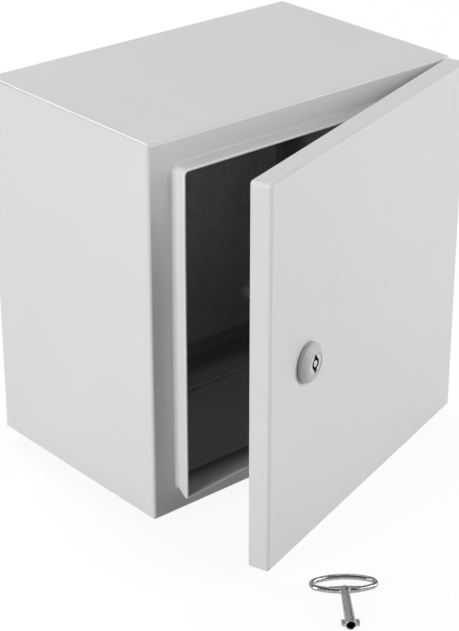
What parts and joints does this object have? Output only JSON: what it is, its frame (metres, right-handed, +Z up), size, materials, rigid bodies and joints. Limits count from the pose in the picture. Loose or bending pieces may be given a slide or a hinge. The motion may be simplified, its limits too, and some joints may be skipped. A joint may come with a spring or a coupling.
{
  "type": "steel wall enclosure",
  "caption": "Steel wall-mounting enclosure with a hinged door on a rain-channel collar, a mounting plate, a gland plate, a double-bit quarter-turn lock and its key.",
  "frame": {"origin": "centre of the four wall-fixing holes, on the rear face that meets the wall", "axes": "+Z up, +X to the right seen from the front, +Y into the wall; the door and lock face -Y"},
  "size_m": [0.3005, 0.3835, 0.3096],
  "materials": {
    "grey_powder_coat": "fine textured powder coat, light grey",
    "grey_die_cast": "satin light grey enamel on die-cast zinc",
    "galvanised_sheet": "galvanised, dull",
    "zinc_steel": "bright zinc-plated",
    "chrome_die_cast": "nickel-plated, bright",
    "black_rubber": "matt",
    "foam_seal": "foamed polyurethane, grey, matt"
  },
  "bodies": {
    "enclosure": {"body_wrap": "grey_powder_coat", "back_panel": "grey_powder_coat", "mounting_plate": "galvanised_sheet", "plate_studs": "zinc_steel", "plate_washers": "zinc_steel", "plate_nuts": "zinc_steel", "body_earth_stud": "zinc_steel", "body_earth_washer": "zinc_steel", "body_earth_nut": "zinc_steel", "gland_gasket": "foam_seal", "gland_plate": "grey_powder_coat", "gland_washers": "zinc_steel", "gland_screws": "zinc_steel", "gland_weld_nuts": "zinc_steel", "hinge_block_upper": "zinc_steel", "hinge_block_lower": "zinc_steel", "hinge_screws": "zinc_steel"},
    "door": {"door_panel": "grey_powder_coat", "door_seal": "foam_seal", "hinge_bracket_upper": "zinc_steel", "hinge_bracket_lower": "zinc_steel", "hinge_pin_upper": "zinc_steel", "hinge_pin_lower": "zinc_steel", "hinge_washers": "zinc_steel", "hinge_clips": "zinc_steel", "door_earth_stud": "zinc_steel", "door_earth_washer": "zinc_steel", "door_earth_nut": "zinc_steel", "lock_housing": "grey_die_cast", "lock_gasket": "black_rubber", "lock_nut": "zinc_steel"},
    "lock": {"lock_core": "chrome_die_cast", "lock_cam": "zinc_steel", "cam_washer": "zinc_steel", "cam_screw": "zinc_steel"},
    "loose_key": {"key": "chrome_die_cast"}
  },
  "joints": [
    {"name": "door_swing", "type": "hinge", "parent": "enclosure", "child": "door", "pos_m": [0.145, -0.2038, 0], "axis": [0, 0, 1], "range_deg": [-18, 112]},
    {"name": "lock_turn", "type": "hinge", "parent": "door", "child": "lock", "pos_m": [-0.08353, -0.28457, -0.0017], "axis": [0.309, -0.9511, 0], "range_deg": [0, 90]},
    {"name": "key_lift", "type": "slide", "parent": "enclosure", "child": "loose_key", "axis": [0, 0, 1], "range_m": [0, 0.15]}
  ]
}
